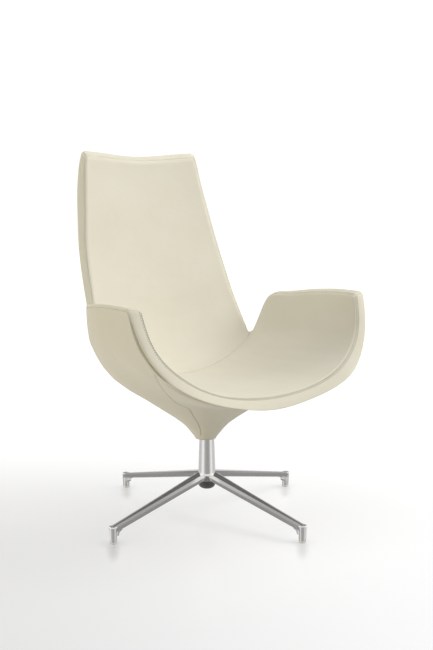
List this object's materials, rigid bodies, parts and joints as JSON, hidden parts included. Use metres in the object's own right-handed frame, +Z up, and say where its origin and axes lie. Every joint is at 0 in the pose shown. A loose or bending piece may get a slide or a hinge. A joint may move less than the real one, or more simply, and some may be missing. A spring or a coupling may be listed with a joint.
{
  "type": "swivel office chair",
  "caption": "High-back upholstered shell chair with wing arms on a free-swivelling column and a polished four-star base with glides.",
  "frame": {"origin": "on the swivel axis at the floor, under the glides", "axes": "+Z up along the swivel axis; the seat faces -Y at rest; +X is to the right seen from the front looking along +Y"},
  "size_m": [0.7578, 0.7628, 1.036],
  "materials": {
    "polished_aluminium": "polished",
    "column_aluminium": "polished",
    "clear_glide": "satin",
    "dark_cap": "satin",
    "zinc_steel": "satin",
    "bearing_steel": "polished",
    "black_steel": "satin",
    "bush_polymer": "satin",
    "shell_moulding": "matte",
    "insert_brass": "satin",
    "spacer_rubber": "matte",
    "cream_leather": "satin",
    "cream_leather_outer": "satin",
    "neck_trim": "satin"
  },
  "bodies": {
    "base": {"base_casting": "polished_aluminium", "glide_back_right": "clear_glide", "glide_back_left": "clear_glide", "glide_front_left": "clear_glide", "glide_front_right": "clear_glide", "column_tube": "column_aluminium", "column_plug": "zinc_steel", "clamp_washer": "zinc_steel", "clamp_bolt": "zinc_steel", "hub_cap": "dark_cap", "lower_bush": "bush_polymer", "upper_bush": "bush_polymer", "thrust_race_lower": "bearing_steel", "bearing_balls": "bearing_steel", "ball_cage": "bush_polymer"},
    "seat": {"thrust_race_upper": "bearing_steel", "spindle": "zinc_steel", "retaining_washer": "zinc_steel", "retaining_screw": "zinc_steel", "spindle_boss": "black_steel", "seat_plate": "black_steel", "shell_core": "shell_moulding", "threaded_inserts": "insert_brass", "plate_spacers": "spacer_rubber", "plate_screws": "zinc_steel", "seat_pad": "cream_leather", "back_pad": "cream_leather", "outer_pad_seat": "cream_leather_outer", "outer_pad_back": "cream_leather_outer", "funnel_cover": "cream_leather_outer", "neck_ring": "neck_trim"}
  },
  "joints": [
    {"name": "seat_swivel", "type": "hinge", "parent": "base", "child": "seat", "pos_m": [0, 0, 0.3], "axis": [0, 0, 1], "continuous": true}
  ]
}
